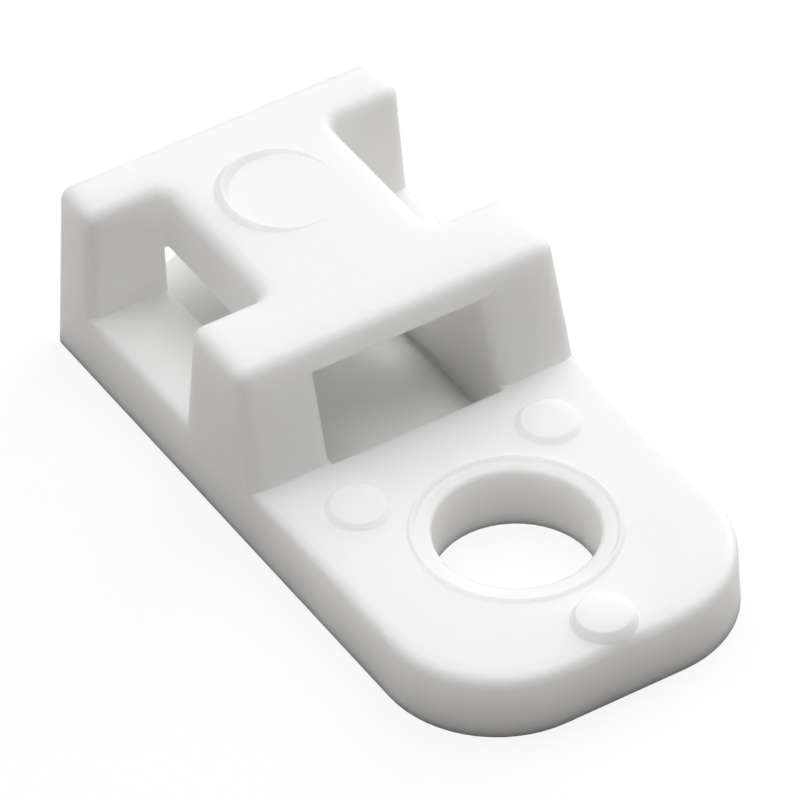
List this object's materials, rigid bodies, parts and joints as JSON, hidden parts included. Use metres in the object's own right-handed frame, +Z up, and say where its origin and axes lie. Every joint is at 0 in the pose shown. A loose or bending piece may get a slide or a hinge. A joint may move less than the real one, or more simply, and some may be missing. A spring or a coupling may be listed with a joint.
{
  "type": "cable tie mount",
  "caption": "Screw-on cable tie mount: a flat plate with a screw hole and a bridged saddle that a cable tie threads through lengthways or crossways.",
  "frame": {"origin": "on the axis of the screw hole, in the flat underside of the base plate", "axes": "+X from the tie saddle towards the screw end, +Y across the mount, +Z up from the underside, the way the screw is withdrawn"},
  "size_m": [0.0203, 0.0104, 0.0056],
  "materials": {
    "natural_nylon": "natural white nylon, smooth moulded surface with a soft satin sheen"
  },
  "bodies": {
    "root": {"mount_body": "natural_nylon"}
  },
  "joints": []
}
